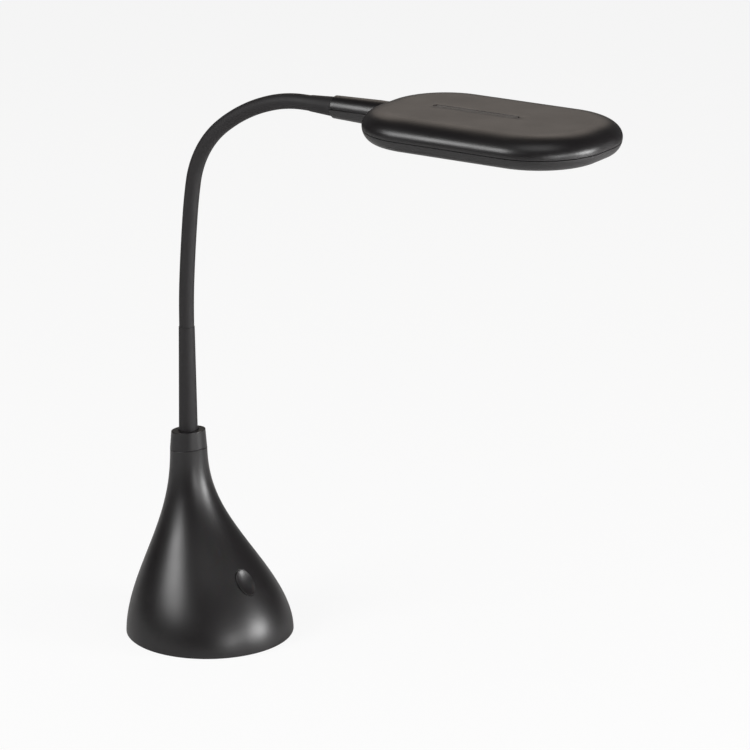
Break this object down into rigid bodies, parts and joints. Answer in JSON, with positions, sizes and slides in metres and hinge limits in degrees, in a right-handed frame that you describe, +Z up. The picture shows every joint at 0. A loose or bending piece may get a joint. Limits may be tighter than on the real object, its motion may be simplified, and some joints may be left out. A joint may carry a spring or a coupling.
{
  "type": "gooseneck desk lamp",
  "caption": "Desk lamp with a weighted bell-shaped base, push button, bending gooseneck and flat oval LED head.",
  "frame": {"origin": "centre of the base's footprint, on the desk, at the underside of its foot pad", "axes": "+Z up; the button faces -Y and the power inlet +Y; the neck and head reach forward, turned 12.3 degrees from -Y towards +X"},
  "size_m": [0.1796, 0.3765, 0.4147],
  "materials": {
    "black_shell": "fine satin, black",
    "button_plastic": "soft gloss, black",
    "sleeve_rubber": "matte, black",
    "foot_foam": "matte, black",
    "steel": "plain",
    "black_steel": "powder coat, black",
    "iron": "as cast",
    "board_green": "solder resist",
    "component_plastic": "moulded",
    "white_board": "white solder resist on aluminium",
    "led_resin": "phosphor resin",
    "spreader_aluminium": "plain",
    "reflector_white": "white",
    "diffuser_white": "milky, frosted",
    "slot_plastic": "dark gloss",
    "lead_pvc": "insulation"
  },
  "bodies": {
    "base": {"base_shell": "black_shell", "bottom_plate": "black_steel", "foot_pad": "foot_foam", "ballast_weight": "iron", "weight_screws": "steel", "bottom_screws": "steel", "neck_collar": "black_shell", "lower_boot": "sleeve_rubber", "lower_ferrule": "steel", "lock_nut": "steel", "lock_washer": "steel", "sleeve_foot": "sleeve_rubber", "hose_foot": "steel", "dc_jack": "component_plastic", "jack_nut": "steel", "jack_lead": "lead_pvc", "control_board": "board_green", "board_components": "component_plastic", "board_screws": "steel", "push_switch": "component_plastic", "neck_lead": "lead_pvc"},
    "button": {"switch_button": "button_plastic", "switch_plunger": "button_plastic"},
    "neck_1": {"sleeve_link_1": "sleeve_rubber", "hose_link_1": "steel"},
    "neck_2": {"sleeve_link_2": "sleeve_rubber", "hose_link_2": "steel"},
    "neck_3": {"sleeve_link_3": "sleeve_rubber", "hose_link_3": "steel"},
    "neck_4": {"sleeve_link_4": "sleeve_rubber", "hose_link_4": "steel"},
    "neck_5": {"sleeve_link_5": "sleeve_rubber", "hose_link_5": "steel"},
    "neck_6": {"sleeve_link_6": "sleeve_rubber", "hose_link_6": "steel"},
    "neck_7": {"sleeve_link_7": "sleeve_rubber", "hose_link_7": "steel"},
    "neck_8": {"sleeve_link_8": "sleeve_rubber", "hose_link_8": "steel"},
    "neck_9": {"sleeve_link_9": "sleeve_rubber", "hose_link_9": "steel"},
    "head": {"sleeve_end": "sleeve_rubber", "hose_end": "steel", "upper_boot": "sleeve_rubber", "upper_ferrule": "steel", "socket_upper": "black_shell", "socket_lower": "black_shell", "socket_screws": "steel", "head_top_cover": "black_shell", "head_bottom_cover": "black_shell", "slot_insert": "slot_plastic", "head_screws": "steel", "diffuser": "diffuser_white", "reflector": "reflector_white", "led_board": "white_board", "leds": "led_resin", "led_screws": "steel", "heat_spreader": "spreader_aluminium", "head_connector": "component_plastic"}
  },
  "joints": [
    {"name": "button_press", "type": "slide", "parent": "base", "child": "button", "axis": [0, 0.7852, -0.6193], "range_m": [0, 0.0015], "stiffness_N_per_m": 1500},
    {"name": "neck_bend_1", "type": "hinge", "parent": "base", "child": "neck_1", "pos_m": [0, 0.0203, 0.233], "axis": [0.977, 0.213, 0], "range_deg": [-24, 10], "deforming": ["neck_lead"]},
    {"name": "neck_sway_2", "type": "hinge", "parent": "neck_1", "child": "neck_2", "pos_m": [0.00014, 0.01965, 0.25829], "axis": [-0.2127, 0.9757, 0.0523], "range_deg": [-20, 20], "deforming": ["neck_lead"]},
    {"name": "neck_bend_3", "type": "hinge", "parent": "neck_2", "child": "neck_3", "pos_m": [0.00049, 0.01804, 0.28353], "axis": [0.977, 0.213, 0], "range_deg": [-24, 10], "deforming": ["neck_lead"]},
    {"name": "neck_bend_4", "type": "hinge", "parent": "neck_3", "child": "neck_4", "pos_m": [0.00096, 0.01588, 0.30874], "axis": [0.977, 0.213, 0], "range_deg": [-24, 10], "deforming": ["neck_lead"]},
    {"name": "neck_sway_5", "type": "hinge", "parent": "neck_4", "child": "neck_5", "pos_m": [0.00167, 0.01266, 0.33381], "axis": [-0.2101, 0.9636, 0.165], "range_deg": [-20, 20], "deforming": ["neck_lead"]},
    {"name": "neck_bend_6", "type": "hinge", "parent": "neck_5", "child": "neck_6", "pos_m": [0.00348, 0.00435, 0.3575], "axis": [0.977, 0.213, 0], "range_deg": [-24, 10], "deforming": ["neck_lead"]},
    {"name": "neck_bend_7", "type": "hinge", "parent": "neck_6", "child": "neck_7", "pos_m": [0.00694, -0.01154, 0.37671], "axis": [0.977, 0.213, 0], "range_deg": [-24, 10], "deforming": ["neck_lead"]},
    {"name": "neck_bend_8", "type": "hinge", "parent": "neck_7", "child": "neck_8", "pos_m": [0.01143, -0.03211, 0.39065], "axis": [0.977, 0.213, 0], "range_deg": [-24, 10], "deforming": ["neck_lead"]},
    {"name": "neck_sway_9", "type": "hinge", "parent": "neck_8", "child": "neck_9", "pos_m": [0.01643, -0.05507, 0.3999], "axis": [-0.0569, 0.2611, 0.9636], "range_deg": [-20, 20], "deforming": ["neck_lead"]},
    {"name": "neck_bend_10", "type": "hinge", "parent": "neck_9", "child": "head", "pos_m": [0.02176, -0.07949, 0.4033], "axis": [0.977, 0.213, 0], "range_deg": [-24, 10], "deforming": ["neck_lead"]}
  ]
}
